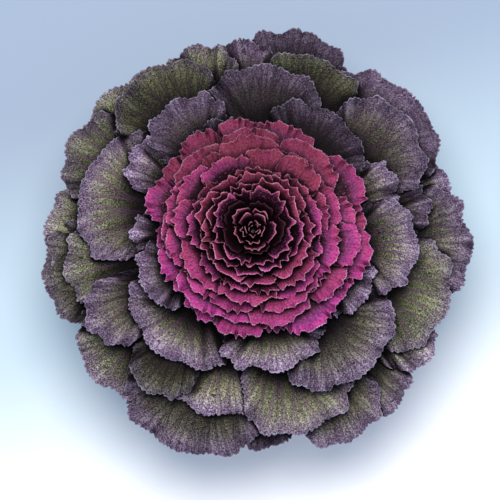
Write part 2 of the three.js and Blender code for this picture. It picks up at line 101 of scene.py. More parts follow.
# One list for each whorl, from the lowest up. A leaf is its azimuth, its half width in
# degrees, its reach from the axis, its turn (0 under its neighbours, 1 over them) and, in
# the outer whorls, how green it is and how dull, partly with age and partly painted shade;
# below 0 a leaf is fresher, and brighter with painted light.
WHORLS = [
    [
        (0, 18, 181, 1, 0.35, 0.8), (18, 15, 171, 0, 0.4, -0.7), (42, 21, 183, 1, 0.15, 0.6),
        (77, 17, 186, 0, 0.05, 1.35), (93, 11, 175, 0, 0.2, 0.6), (107, 12, 174, 1, 0.9, -0.2),
        (135, 18, 177, 0, 1, -0.8), (150, 16, 175, 1, 0.8, 0.6), (176, 16, 172, 0, 0.8, -0.05),
        (190, 17, 175, 1, 0.7, 1.3), (220, 18, 171, 0, 0.75, 0.4), (250, 22, 181, 1, 0.4, 1.15),
        (271, 14, 170, 0, 0.4, 1.6), (297, 14, 181, 1, 0.5, 0.8), (310, 13.5, 178, 0, 0.5, 0.75),
        (327, 10, 174, 1, 0.6, -0.4),
    ],
    [
        (12, 10, 150, 0, 0.35, 0.8), (37, 19, 164, 1, 0.35, 0.85), (70, 19, 165, 0, 1.1, 1.4),
        (122, 18, 168, 1, 0.9, 1.25), (134, 11, 152, 0, 0.95, -2), (161, 26, 148, 1, 0.55, 0.45),
        (189, 16, 157, 0, 0.9, 0.4), (208, 13, 152, 1, 0.4, 0.75), (235, 13, 151, 1, 0.8, 1.5),
        (255, 21, 147, 0, 0.6, -0.25), (286, 19, 163, 1, 0.7, 0.45), (341, 20, 169, 0, 0.8, 0.6),
    ],
    [
        (23, 12, 129, 0, 0.45, -0.5), (57, 25, 124, 1, 0.1, 1.5), (85, 22, 146, 0, 0.2, 1.35),
        (120, 18, 132, 1, 0.25, 0.75), (144, 13, 124, 0, 0.3, -0.9), (229, 29, 122, 0, 0.45, 0.35),
        (310, 25, 143, 1, 0.4, 0.88), (356, 20, 135, 1, 0.5, 0.35),
    ],
    [
        (110, 16, 103, 0, 0.1, 1.3), (179, 14, 100, 0, 0.3, -0.7), (204, 21, 100, 1, 0.4, 0.3),
        (281, 27, 112, 0, 0.5, -0.2), (333, 18, 107, 0, 0.4, -1.4),
    ],
    [
        (6, 14, 92, 0), (29, 17, 99, 1), (72, 18, 95, 1), (98, 12, 97, 0),
        (121, 12, 96, 1), (140, 13, 91, 0), (159, 13, 92, 1), (180, 13, 79, 0),
        (204, 17, 81, 1), (237, 15, 82, 0), (262, 16, 86, 1), (285, 9, 83, 0),
        (308, 20, 93, 1), (335, 14, 91, 0), (348, 14, 98, 1),
    ],
    [
        (51, 21, 86, 1), (92, 18, 86, 0), (129, 20, 81, 1), (178, 22, 74, 0),
        (231, 21, 77, 1), (263, 16, 75, 0), (289, 21, 79, 1), (330, 18, 83, 0),
        (352, 13, 87, 1), (10, 13, 84, 0),
    ],
    [
        (22, 19, 73, 0), (56, 20, 72, 0), (92, 21, 78, 1), (119, 13, 72, 0),
        (156, 21, 73, 1), (188, 20, 71, 0), (225, 16, 68, 1), (253, 18, 68, 0),
        (300, 25, 70, 1), (323, 13, 70, 0), (345, 21, 71, 1),
    ],
    [
        (50, 18, 70, 1), (76, 21, 68, 0), (114, 23, 63, 1), (143, 19, 69, 0),
        (170, 16, 65, 1), (211, 30, 62, 0), (266, 28, 60, 1), (312, 24, 63, 0),
        (20, 21, 64, 0),
    ],
    [
        (318, 24, 57, 1), (173, 25, 53, 1), (139, 13, 54, 0), (225, 22, 51, 0),
        (254, 14, 51, 1), (285, 22, 53, 0), (84, 31, 51, 1), (40, 22, 55, 0),
        (12, 20, 56, 1), (346, 14, 57, 0),
    ],
    [
        (46, 32, 47, 0), (86, 22, 45, 1), (121, 22, 46, 0), (156, 22, 46, 1),
        (200, 26, 43, 0), (240, 22, 44, 1), (276, 25, 46, 0), (321, 26, 48, 1),
        (355, 20, 48, 0),
    ],
    [
        (50, 37, 40, 1), (104, 31, 37, 0), (150, 26, 38, 1), (182, 22, 40, 0),
        (222, 24, 37, 1), (263, 22, 38, 0), (306, 26, 37, 1), (352, 33, 40, 0),
    ],
    [
        (20, 26, 32, 0), (62, 29, 32, 1), (104, 26, 31, 0), (148, 26, 32, 1),
        (188, 22, 31, 0), (234, 29, 30, 1), (288, 31, 30, 0), (331, 26, 32, 1),
    ],
]

# Towards the growing tip the leaves follow in fives, turned on by the golden angle.
TIP_WHORLS = 5
TIP_LEAVES = 5
TIP_HALF_WIDTH = 38
GOLDEN_ANGLE = 137.5

# How many whorls, from below, are grey-purple, are leaves with a node each, or end a form.
OUTER_WHORLS = 4
SEPARATE_WHORLS = 5
HEART_WHORLS = 9
BUD_WHORLS = 12

# Whorls of the heart that are painted near black, as shade, between the coloured ones.
SHADED_WHORLS = (12,)

# How leaves sit on the stem: how much of its girth they fill, how deep the heart's leaves are
# rooted in it, over what share of the way out they bend towards their own azimuth, and from
# where to where along a leaf its petiole thins into the blade.
SEAT_FILL = 0.8
ROOT_SINK = 2.5
LEAST_SEAT_RADIUS = 0.4
BEND_SHARE = 0.4
PETIOLE_THINS = (-0.6, 0.35)

# How the sides of a blade curl, over its neighbours or under them, and how even its rim is.
CUP_OVER = 0.7
CUP_UNDER = -1
WAVE_FADE = 0.4
LEAST_WAVE = 0.35
LEAST_NOTCH = 0.4
NOTCH_UNEVENNESS = 0.5

# Teeth and frills drift from their places by up to this share of their pitch. Their sizes hold
# a mean and a spread.
TOOTH_DRIFT = 0.5
TOOTH_SIZE = (0.8, 0.6)
POINTS_PER_TOOTH = 2.6
POINT_DEPTH = 0.3
FRILL_DRIFT = 0.45
FRILL_SIZE = (0.8, 0.7)

# How steeply the work of a rim dies away inwards: powers of the way out from the blade's foot.
NOTCH_FADE = 3
TOOTH_FADE = 7
FRILL_CUT_FADE = 4
PLEAT_FADE = 3
WAVE_RISE = 2
RELIEF_FADE = 6

# The large veins' spacing, as a share of half the rim.
VEIN_SPACING = 0.25

# Each leaf draws from a seed of its own.
FIRST_SEED = 4711
SEED_STEP = 97
SKIPPED_DRAWS = 5


def leaf_form(**sizes):
    return SimpleNamespace(**sizes)


# A form's stations count the waves and notches of the rim. Its rows run from the seat to the
# rim: (along, columns across). Teeth are the fine cuts of the rim, rounder the higher crenate
# is, and frills its short waves.
OUTER = leaf_form(
    stations=16, petiole_end=0.36, centre=0.68, sweep=122, roundness=2.6, spread=1.14,
    petiole_width=8, petiole_depth=3.8, blade_depth=1.0, rim_depth=0.6, rib_depth=1.0,
    wave=3.4, notch=3.6, camber=1.6,
    tooth_pitch=5.0, tooth_depth=2.8, crenate=0.85, pleat=0.08,
    frill_pitch=25, frill_cut=2.0, frill=2.8, frill_fade=12,
    vein_relief=0.18,
    rows=[(-1, 10), (-0.66, 10), (-0.33, 10), (0, 12), (0.1, 24), (0.2, 48), (0.31, 48),
          (0.42, 96), (0.52, 96), (0.61, 96), (0.69, 96), (0.76, 96), (0.82, 192), (0.875, 192),
          (0.92, 192), (0.955, 192), (0.98, 192), (1, 192)],
)
INNER = leaf_form(
    stations=16, petiole_end=0.14, centre=0.62, sweep=118, roundness=3.2, spread=1.22,
    petiole_width=9, petiole_depth=1.7, blade_depth=0.9, rim_depth=0.5, rib_depth=0.5,
    wave=1.8, notch=2.2, camber=0.6,
    tooth_pitch=2.7, tooth_depth=2.7, crenate=0.6, pleat=0.12,
    frill_pitch=10, frill_cut=2.3, frill=3.0, frill_fade=16,
    vein_relief=0.1,
    rows=[(-1, 8), (-0.5, 8), (0, 10), (0.15, 20), (0.3, 40), (0.45, 80), (0.58, 80),
          (0.68, 80), (0.76, 160), (0.83, 160), (0.89, 160), (0.94, 240), (0.975, 240), (1, 240)],
)
HEART = leaf_form(
    stations=12, petiole_end=0.14, centre=0.62, sweep=112, roundness=3.2, spread=1.24,
    petiole_width=7, petiole_depth=1.3, blade_depth=0.8, rim_depth=0.45, rib_depth=0.3,
    wave=1.4, notch=1.8, camber=0.5,
    tooth_pitch=2.7, tooth_depth=2.1, crenate=0.75, pleat=0.12,
    frill_pitch=12, frill_cut=1.4, frill=2.4, frill_fade=14,
    vein_relief=0.08,
    rows=[(-1, 6), (0, 8), (0.25, 20), (0.45, 60), (0.6, 60), (0.72, 60), (0.8, 120),
          (0.87, 120), (0.925, 200), (0.965, 200), (1, 200)],
)
BUD = leaf_form(
    stations=7, petiole_end=0.14, centre=0.65, sweep=105, roundness=3.2, spread=1.22,
    petiole_width=5, petiole_depth=0.9, blade_depth=0.7, rim_depth=0.45, rib_depth=0.1,
    wave=0.9, notch=1.2, camber=0.3,
    tooth_pitch=2.7, tooth_depth=1.6, crenate=0.75, pleat=0.1,
    frill_pitch=12, frill_cut=0.9, frill=2.0, frill_fade=10,
    vein_relief=0.05,
    rows=[(-1, 6), (0.2, 12), (0.5, 36), (0.7, 72), (0.82, 72), (0.9, 120), (0.96, 120), (1, 120)],
)
TIP = leaf_form(
    stations=5, petiole_end=0.14, centre=0.55, sweep=105, roundness=3.2, spread=1.0,
    petiole_width=3, petiole_depth=0.8, blade_depth=0.7, rim_depth=0.4, rib_depth=0,
    wave=0.5, notch=0.8, camber=0.2,
    tooth_pitch=2.2, tooth_depth=0.8, crenate=0.5, pleat=0.1,
    frill_pitch=8, frill_cut=0.6, frill=0.9, frill_fade=8,
    vein_relief=0.05,
    rows=[(-1, 4), (0.3, 10), (0.65, 24), (0.85, 48), (0.95, 48), (1, 48)],
)
FORM_ENDS = [
    (OUTER_WHORLS, OUTER), (SEPARATE_WHORLS, INNER), (HEART_WHORLS, HEART),
    (BUD_WHORLS, BUD), (BUD_WHORLS + TIP_WHORLS, TIP),
]


# ---------------------------------------------------------------- small helpers

def random_stream(seed):
    """Numbers from 0 to 1 that follow from a whole seed, by the minimal standard generator."""
    multiplier, modulus = 16807, 2147483647
    state = seed
    while True:
        state = state * multiplier % modulus
        yield state / modulus


def rosette(whorl, value_name):
    return np.interp(whorl, ROSETTE["whorl"], ROSETTE[value_name])


def stem_radius(height):
    heights, radii = zip(*STEM_PROFILE)
    return np.interp(height, heights, radii)


def smoothstep(values, low, high):
    share = np.clip((values - low) / (high - low), 0, 1)
    return share * share * (3 - 2 * share)


def signed_power(values, power):
    return np.sign(values) * np.abs(values) ** power


def between(least, share):
    """The value at a share of the way from least to 1."""
    return least + (1 - least) * share


def hex_color(code):
    """A colour written as sRGB hex, turned to linear RGBA."""
    channels = [int(code[place:place + 2], 16) / 255 for place in (1, 3, 5)]
    linear = [c / 12.92 if c <= 0.04045 else ((c + 0.055) / 1.055) ** 2.4 for c in channels]
    return (*linear, 1.0)


def add_node(tree, kind, inputs=None, **settings):
    """Adds a node. Each input takes a value, a colour's hex code or the socket that feeds it."""
    node = tree.nodes.new(kind)
    for name, value in settings.items():
        setattr(node, name, value)
    for key, value in (inputs or {}).items():
        if isinstance(value, bpy.types.NodeSocket):
            tree.links.new(value, node.inputs[key])
        else:
            node.inputs[key].default_value = hex_color(value) if isinstance(value, str) else value
    return node


def new_mesh(name, positions, triangles, vectors=None):
    """A smooth mesh from positions in millimetres, with named vectors on its points."""
    mesh = bpy.data.meshes.new(name)
    mesh.vertices.add(len(positions))
    mesh.vertices.foreach_set("co", (np.asarray(positions) * MM).astype(np.float32).ravel())
    mesh.loops.add(3 * len(triangles))
    mesh.loops.foreach_set("vertex_index", np.asarray(triangles, np.int32).ravel())
    mesh.polygons.add(len(triangles))
    mesh.polygons.foreach_set("loop_start", np.arange(0, 3 * len(triangles), 3, dtype=np.int32))
    mesh.polygons.foreach_set("use_smooth", np.ones(len(triangles), bool))
    for vector_name, values in (vectors or {}).items():
        attribute = mesh.attributes.new(vector_name, "FLOAT_VECTOR", "POINT")
        attribute.data.foreach_set("vector", values.astype(np.float32).ravel())
    mesh.update(calc_edges=True)
    return mesh


def add_piece(name, mesh, material, slot, *nodes):
    """A finished piece of the plant, in place of the named nodes."""
    mesh.materials.clear()
    mesh.materials.append(material)
    piece = bpy.data.objects.new(name, mesh)
    bpy.context.scene.collection.objects.link(piece)
    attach(piece, "root")
    if nodes:
        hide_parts(*nodes)
    return piece


# ---------------------------------------------------------------- leaves

def midrib(form, whorl, turn, reach, sunk):
    """The four control points of a leaf's midrib, as [radius, height above the soil]."""
    seat_height = rosette(whorl, "seat")
    sink = -ROOT_SINK if sunk else FIT_GAP
    seat_radius = max(stem_radius(seat_height - form.petiole_depth) + sink, LEAST_SEAT_RADIUS)
    level = whorl + turn / 2
    slope = rosette(level, "slope")
    slide = reach - rosette(level, "radius") if abs(slope) < STEEP_SLOPE else 0
    tip = np.array([
        rosette(level, "radius") + slide,
        rosette(level, "height") + slide * math.tan(math.radians(slope)),
    ])
    seat = np.array([seat_radius, seat_height])
    bow = MIDRIB_BOW * np.linalg.norm(tip - seat)
    seat_angle = math.radians(rosette(level, "seat_angle"))
    first = seat + bow * np.array([math.cos(seat_angle), math.sin(seat_angle)])
    first[1] += rosette(level, "seat") - seat_height
    slope = math.radians(slope)
    last = tip - bow * np.array([math.cos(slope), math.sin(slope)])
    return np.array([seat, first, last, tip])


def curve_at(points, place):
    """Points and unit tangents of a cubic curve at places along it."""
    t = place[:, None]
    s = 1 - t
    seat, first, last, tip = points
    position = s ** 3 * seat + 3 * s * s * t * first + 3 * s * t * t * last + t ** 3 * tip
    tangent = s * s * (first - seat) + 2 * s * t * (last - first) + t * t * (tip - last)
    return position, tangent / np.linalg.norm(tangent, axis=1)[:, None]


def curve_length(points):
    position, _ = curve_at(points, np.linspace(0, 1, 201))
    return np.linalg.norm(np.diff(position, axis=0), axis=1).sum()


def tip_whorls():
    """The small leaves round the growing tip, in whorls like the ones named above."""
    return [
        [
            ((GOLDEN_ANGLE * whorl + number * 360 / TIP_LEAVES) % 360, TIP_HALF_WIDTH,
             rosette(whorl, "radius"), number % 2)
            for number in range(TIP_LEAVES)
        ]
        for whorl in range(len(WHORLS), len(WHORLS) + TIP_WHORLS)
    ]


def draw_rim(form, draws):
    """How far the rim is lifted and notched at each station, drawn by chance."""
    stations = range(form.stations + 1)
    lifts = [(-1 if k % 2 else 1) * between(LEAST_WAVE, next(draws)) for k in stations]
    notches = []
    for k in stations:
        notch = (k % 2) * between(LEAST_NOTCH, next(draws))
        notches.append(notch + NOTCH_UNEVENNESS * next(draws))
    return np.array(lifts), np.array(notches)


def make_leaves():
    """Every leaf of the plant, with its midrib, its rim and its own seed."""
    leaves = []
    for whorl, whorl_leaves in enumerate(WHORLS + tip_whorls()):
        form = next(form for end, form in FORM_ENDS if whorl < end)
        kind = "outer" if whorl < OUTER_WHORLS else "inner"
        ordered = sorted(whorl_leaves)
        pitch = 360 / len(ordered)
        start = sum(leaf[0] - index * pitch for index, leaf in enumerate(ordered)) / len(ordered)
        for index, (azimuth, half_width, reach, turn, *looks) in enumerate(ordered):
            seed = FIRST_SEED + SEED_STEP * len(leaves)
            draws = random_stream(seed)
            for _ in range(SKIPPED_DRAWS):
                next(draws)
            lifts, notches = draw_rim(form, draws)
            green, tone = looks or (0.0, next(draws))
            points = midrib(form, whorl, turn, reach, whorl >= SEPARATE_WHORLS)
            seat_radius, tip_radius = points[0, 0], points[3, 0]
            seat_azimuth = start + index * pitch
            seat_width = SEAT_FILL * math.radians(pitch) * seat_radius
            leaves.append(SimpleNamespace(
                name=f"{kind}_leaf_{whorl + 1}_{index + 1}", whorl=whorl, form=form, seed=seed,
                points=points, length=curve_length(points), lifts=lifts, notches=notches,
                half_width=math.radians(half_width) * form.spread, green=green, tone=tone,
                cupping=CUP_OVER if turn else CUP_UNDER, seat_azimuth=seat_azimuth,
                bend_angle=(azimuth - seat_azimuth + 540) % 360 - 180,
                straight_from=seat_radius + BEND_SHARE * (tip_radius - seat_radius),
                petiole_width=min(form.petiole_width, seat_width),
            ))
    return leaves


def at_stations(values, across):
    """Reads a value between the stations across a leaf, with smooth hills and valleys."""
    place = (across + 1) / 2 * (len(values) - 1)
    low = np.clip(np.floor(place).astype(int), 0, len(values) - 2)
    share = (1 - np.cos(np.pi * (place - low))) / 2
    return values[low] * (1 - share) + values[low + 1] * share


def wander(distance, pitch, rng):
    """A smooth random line of the given pitch, between about -1 and 1."""
    phases = rng.uniform(0, 2 * np.pi, 3)
    waves = [np.sin(2 * np.pi * distance / (pitch * stretch) + phase)
             for stretch, phase in zip((1, 1.63, 2.71), phases)]
    return 0.5 * waves[0] + 0.3 * waves[1] + 0.2 * waves[2]


def vein_offsets(fan):
    """Distance to the nearest large vein, in shares of the veins' spacing."""
    place = fan / VEIN_SPACING
    return np.abs(place - np.round(place))


def leaf_frame(leaf, across, along, shrink):
    """Where a leaf's middle surface lies: radius, height, tangent and azimuth."""
    form = leaf.form
    swing = np.radians(across * form.sweep)
    rim_place = form.centre + (1 - form.centre) * signed_power(np.cos(swing), 2 / form.roundness)
    blade = form.petiole_end + (rim_place - form.petiole_end) * along * shrink
    place = np.where(along > 0, blade, form.petiole_end * (along + 1))
    turn = leaf.half_width * signed_power(np.sin(swing), 2 / form.roundness) * along * shrink
    turn = np.where(along > 0, turn, 0)
    spine, tangent = curve_at(leaf.points, np.minimum(place, 1))
    spine = spine + tangent * (np.maximum(place - 1, 0) * leaf.length)[:, None]
    petiole_turn = across * leaf.petiole_width / 2 / spine[:, 0] * (1 - np.maximum(along, 0))
    bend = smoothstep(spine[:, 0], leaf.points[0, 0], leaf.straight_from)
    azimuth = np.radians(leaf.seat_azimuth + leaf.bend_angle * bend) + petiole_turn + turn
    return spine, tangent, azimuth


def to_xyz(radius, height, azimuth):
    return np.stack([np.cos(azimuth) * radius, np.sin(azimuth) * radius, SOIL_HEIGHT + height], 1)


def rim_measures(leaf, fan):
    """Where a fan's columns lie across a leaf and, in millimetres, how far along the rim from
    the midrib they reach it, half the rim's length and the blade's length at each."""
    fine = np.linspace(-1, 1, 601)
    spine, _, azimuth = leaf_frame(leaf, fine, np.ones_like(fine), 1)
    rim = to_xyz(spine[:, 0], spine[:, 1], azimuth)
    spine, _, azimuth = leaf_frame(leaf, fine, np.full_like(fine, 0.001), 1)
    foot = to_xyz(spine[:, 0], spine[:, 1], azimuth)
    run = np.concatenate([[0], np.cumsum(np.linalg.norm(np.diff(rim, axis=0), axis=1))])
    half_rim = run[-1] / 2
    across = np.interp(fan, run / half_rim - 1, fine)
    blade = np.linalg.norm(rim - foot, axis=1)
    return across, fan * half_rim, half_rim, np.interp(across, fine, blade)


def leaf_points(leaf, fan, along):
    """Upper and lower points of a leaf, their distances from the rim and half the rim's length,
    in millimetres."""
    form = leaf.form
    rng = np.random.default_rng(leaf.seed)
    across, run, half_rim, blade = rim_measures(leaf, fan)
    # From 0 at the foot of the blade to 1 at its rim.
    out = np.maximum(along, 0)

    # Teeth of uneven size, rounded or pointed, and small points between them.
    drift = TOOTH_DRIFT * wander(run, 5 * form.tooth_pitch, rng)
    tooth_place = run / form.tooth_pitch + drift
    tooth_size = TOOTH_SIZE[0] + TOOTH_SIZE[1] * wander(run, 3.3 * form.tooth_pitch, rng)
    lobes = 1 - np.abs(np.sin(np.pi * tooth_place)) ** 0.8
    points = 2 * np.abs(tooth_place - np.round(tooth_place))
    small_place = POINTS_PER_TOOTH * tooth_place + wander(run, 2 * form.tooth_pitch, rng)
    small_points = 2 * np.abs(small_place - np.round(small_place))
    teeth = (form.crenate * lobes + (1 - form.crenate) * points) * tooth_size
    teeth = teeth + POINT_DEPTH * small_points

    # Frills cut the rim in and out, and the large notches are wider still.
    drift = FRILL_DRIFT * wander(run, 3 * form.frill_pitch, rng)
    frill_place = run / form.frill_pitch + drift
    frill_size = FRILL_SIZE[0] + FRILL_SIZE[1] * wander(run, 2.2 * form.frill_pitch, rng)
    frills = np.sin(2 * np.pi * frill_place) + 0.35 * np.sin(4 * np.pi * frill_place + 1)
    ray = leaf.length * (1 - form.petiole_end)
    recess = form.notch * at_stations(leaf.notches, across) * out ** NOTCH_FADE / ray
    cut = form.tooth_depth * teeth * out ** TOOTH_FADE
    cut = cut + form.frill_cut * frill_size * (0.6 + 0.5 * frills) * out ** FRILL_CUT_FADE
    recess = recess + cut / np.maximum(blade, 8)
    spine, tangent, azimuth = leaf_frame(leaf, across, along, 1 - recess)

    # The same frills lift the rim, over the long waves and the curl of the sides.
    ruffles = form.frill * frill_size * frills * out ** form.frill_fade
    ruffles = ruffles - form.pleat * np.cos(2 * np.pi * tooth_place) * out ** PLEAT_FADE
    wave = form.wave * at_stations(leaf.lifts, across) * out ** WAVE_RISE
    wave = wave * (1 - WAVE_FADE * across ** 2)
    lift = wave + form.camber * leaf.cupping * across ** 2 * out + ruffles

    # Between the large veins the blade is quilted. It thins from the petiole to the rim.
    vein = vein_offsets(fan)
    quilting = np.sin(np.pi * np.minimum(vein * 2, 1)) ** 2 * form.vein_relief
    groove = form.vein_relief * (1 - smoothstep(vein, 0.02, 0.12))
    petiole_share = 1 - smoothstep(along, *PETIOLE_THINS)
    roundness = np.sqrt(np.maximum(1 - across ** 2, 0.02))
    ribs = np.exp(-(across * 5) ** 2) + 0.5 * (1 - smoothstep(vein, 0, 0.1))
    rib = form.rib_depth * ribs * (1 - out)
    thinning = form.blade_depth + (form.rim_depth - form.blade_depth) * out ** 2
    half = thinning / 2 + (form.petiole_depth - form.blade_depth) / 2 * petiole_share
    half = half * (1 - petiole_share + petiole_share * roundness)
    relief = smoothstep(along, 0, 0.2) * (1 - out ** RELIEF_FADE)
    upper = lift + half + (0.6 * quilting - groove) * relief
    lower = lift - half - rib * (1 - petiole_share) + 0.4 * quilting * relief

    def off_spine(offset):
        radius = spine[:, 0] - tangent[:, 1] * offset
        height = spine[:, 1] + tangent[:, 0] * offset
        return to_xyz(radius, height, azimuth)

    rim_distance = np.where(along > 0, blade * (1 - along), blade + 40 * -along)
    return off_spine(upper), off_spine(lower), rim_distance, half_rim


def blade_topology(form):
    """Fan and along of a form's points, and the triangles of a closed leaf."""
    fan, along, rows = [], [], []
    for row_along, columns in form.rows:
        rows.append(list(range(len(fan), len(fan) + columns + 1)))
        fan.extend(np.linspace(-1, 1, columns + 1))
        along.extend([row_along] * (columns + 1))
    faces = []
    for inner, outer in zip(rows, rows[1:]):
        near = far = 0
        while near < len(inner) - 1 or far < len(outer) - 1:
            near_next = (near + 1) / (len(inner) - 1)
            far_next = (far + 1) / (len(outer) - 1)
            if far == len(outer) - 1 or (near < len(inner) - 1 and near_next < far_next):
                faces.append((inner[near], outer[far], inner[near + 1]))
                near += 1
            else:
                faces.append((inner[near], outer[far], outer[far + 1]))
                far += 1
    count = len(fan)
    under = [(c + count, b + count, a + count) for a, b, c in faces]
    edge = rows[0][::-1] + [row[0] for row in rows[1:-1]] + rows[-1]
    edge += [row[-1] for row in rows[-2:0:-1]]
    wall = []
    for here, ahead in zip(edge, edge[1:] + edge[:1]):
        wall += [(here, here + count, ahead), (ahead, here + count, ahead + count)]
    return np.array(fan), np.array(along), np.array(faces + under + wall)


TOPOLOGY = {id(form): blade_topology(form) for _, form in FORM_ENDS}


def leaf_arrays(leaf):
    """Positions, triangles and point vectors of one leaf."""
    fan, along, triangles = TOPOLOGY[id(leaf.form)]
    upper, lower, rim_distance, half_rim = leaf_points(leaf, fan, along)
    place = np.stack([fan, along, rim_distance], 1)
    growth = np.ones_like(place) * [leaf.green, leaf.tone, half_rim]
    depth = (leaf.whorl - OUTER_WHORLS) / (len(WHORLS) - OUTER_WHORLS)
    # Whorls painted near black with shade.
    dim = 1 if leaf.whorl in SHADED_WHORLS else 0
    face = np.ones_like(place) * [1, depth, dim]
    under = np.ones_like(place) * [0, depth, dim]
    return np.concatenate([upper, lower]), triangles, {
        "leaf_place": np.concatenate([place, place]),
        "leaf_growth": np.concatenate([growth, growth]),
        "leaf_face": np.concatenate([face, under]),
    }


def leaves_mesh(name, leaves):
    """One mesh of several leaves."""
    positions, triangles, vectors = [], [], {}
    count = 0
    for leaf in leaves:
        leaf_positions, leaf_triangles, leaf_vectors = leaf_arrays(leaf)
        positions.append(leaf_positions)
        triangles.append(leaf_triangles + count)
        count += len(leaf_positions)
        for vector_name, values in leaf_vectors.items():
            vectors.setdefault(vector_name, []).append(values)
    vectors = {vector_name: np.concatenate(values) for vector_name, values in vectors.items()}
    return new_mesh(name, np.concatenate(positions), np.concatenate(triangles), vectors)


# ---------------------------------------------------------------- turned and loose pieces

def turned_mesh(name, profile, segments, ripple=None):
    """A closed solid of revolution about Z from (radius, height) points that end on it. ripple
    gives how far out and up a point is moved."""
    angles = np.linspace(0, 2 * np.pi, segments, endpoint=False)
    positions, rings = [], []
    for radius, height in profile:
        if radius == 0:
            rings.append([len(positions)])
            positions.append((0, 0, height))
            continue
        rings.append(list(range(len(positions), len(positions) + segments)))
        for angle in angles:
            out, up = ripple(radius, angle, height) if ripple else (0, 0)
            reach = radius + out
            positions.append((reach * math.cos(angle), reach * math.sin(angle), height + up))
    triangles = []
    for low, high in zip(rings, rings[1:]):
        for k in range(segments):
            ahead = (k + 1) % segments
            if len(low) == 1:
                triangles.append((low[0], high[ahead], high[k]))
            elif len(high) == 1:
                triangles.append((low[k], low[ahead], high[0]))
            else:
                triangles.append((low[k], low[ahead], high[ahead]))
                triangles.append((low[k], high[ahead], high[k]))
    return new_mesh(name, positions, triangles)


def pot_inside_radius(height):
    low = POT_BASE_RADIUS - POT_WALL
    share = (height - POT_FLOOR) / (POT_HEIGHT - POT_FLOOR)
    return low + (POT_RIM_RADIUS - POT_WALL - low) * share


def arc_profile(centre, radius, start, end, steps=5):
    """Points of a round edge in a profile."""
    angles = np.radians(np.linspace(start, end, steps))
    return [(centre[0] + radius * math.cos(a), centre[1] + radius * math.sin(a)) for a in angles]


def pot_mesh():
    """The clay pot, with a thick rim and rounded edges."""
    rim_foot = POT_HEIGHT - POT_RIM_HEIGHT
    rim_foot_radius = POT_RIM_RADIUS - POT_RIM_FLARE
    edge = POT_ROUNDING
    lower_wall = [
        (POT_BASE_RADIUS + (POT_TOP_RADIUS - POT_BASE_RADIUS) * share, rim_foot * share)
        for share in np.linspace(0.05, 1, 40)
    ]
    rim_wall = [
        (rim_foot_radius + POT_RIM_FLARE * share,
         rim_foot + edge + (POT_RIM_HEIGHT - 2 * edge) * share)
        for share in np.linspace(0, 1, 12)
    ]
    inside = [
        (pot_inside_radius(height), height)
        for height in np.linspace(POT_HEIGHT - edge, POT_FLOOR, 24)
    ]
    profile = [
        (0, 0),
        (POT_BASE_RADIUS - 1.5 * edge, 0),
        *arc_profile((POT_BASE_RADIUS - edge, edge), edge, -80, -5),
        *lower_wall,
        *arc_profile((rim_foot_radius - edge, rim_foot + edge), edge, -90, -10),
        *rim_wall,
        *arc_profile((POT_RIM_RADIUS - edge, POT_HEIGHT - edge), edge, 10, 90),
        *arc_profile((POT_RIM_RADIUS - POT_WALL + edge, POT_HEIGHT - edge), edge, 95, 170),
        *inside,
        (0, POT_FLOOR),
    ]
    return turned_mesh("clay_pot", profile, 128)


def bore_drains(pot):
    """Cuts the drain holes through the pot's floor."""
    for index in range(DRAIN_COUNT):
        angle = (index + 0.5) * 2 * math.pi / DRAIN_COUNT
        bpy.ops.mesh.primitive_cylinder_add(
            vertices=32, radius=DRAIN_RADIUS * MM, depth=3 * POT_FLOOR * MM,
            location=(DRAIN_RING_RADIUS * MM * math.cos(angle),
                      DRAIN_RING_RADIUS * MM * math.sin(angle), 0))
        drill = bpy.context.active_object
        cut = pot.modifiers.new("drain", "BOOLEAN")
        cut.operation = "DIFFERENCE"
        cut.object = drill
        evaluated = pot.evaluated_get(bpy.context.evaluated_depsgraph_get())
        bored = bpy.data.meshes.new_from_object(evaluated)
        pot.modifiers.clear()
        pot.data = bored
        bpy.data.objects.remove(drill)


def soil_mesh():
    """The compost, with its surface heaped round the stem and uneven."""
    rng = np.random.default_rng(SOIL_SEED)
    swells = [(rng.uniform(-1, 1, 2) * 2 * np.pi / size, rng.uniform(0, 2 * np.pi), depth)
              for size, depth in SOIL_SWELLS]

    def ripple(radius, angle, height):
        if height < SOIL_HEIGHT - SOIL_CRUST:
            return 0, 0
        x, y = radius * math.cos(angle), radius * math.sin(angle)
        swell = sum(depth * math.sin(way[0] * x + way[1] * y + phase)
                    for way, phase, depth in swells)
        return 0, swell - 1

    shore = SOIL_HEIGHT - SOIL_FALL
    bottom = POT_FLOOR + FIT_GAP
    shore_radius = pot_inside_radius(shore) - 2 * FIT_GAP
    bottom_radius = pot_inside_radius(bottom) - 2 * FIT_GAP
    surface = [
        (radius, SOIL_HEIGHT - SOIL_FALL * (radius / shore_radius) ** 2)
        for radius in np.linspace(shore_radius, 14, 34)
    ]
    profile = [(0, bottom), (bottom_radius, bottom), (shore_radius - 0.5, shore - SOIL_CRUST),
               *surface, (0, SOIL_HEIGHT)]
    return turned_mesh("compost", profile, 128, ripple)


def heart_foot():
    """The height above the soil at which the heart starts on the stem."""
    return rosette(SEPARATE_WHORLS - 0.5, "seat")


def stem_mesh():
    """The stalk, knobbly with the scars of old leaves."""
    def ripple(radius, angle, height):
        turns = (height - SOIL_HEIGHT) / SCAR_PITCH
        scars = math.sin(3 * angle + 2.4 * turns) * math.sin(2 * math.pi * turns)
        return SCAR_DEPTH * scars, 0

    top = heart_foot()
    heights = np.linspace(-ROOT_DEPTH, top, 70)
    profile = [(0, SOIL_HEIGHT - ROOT_DEPTH)]
    profile += [(stem_radius(height) - FIT_GAP, SOIL_HEIGHT + height) for height in heights]
    profile += [(0, SOIL_HEIGHT + top)]
    return turned_mesh("stalk", profile, 48, ripple)


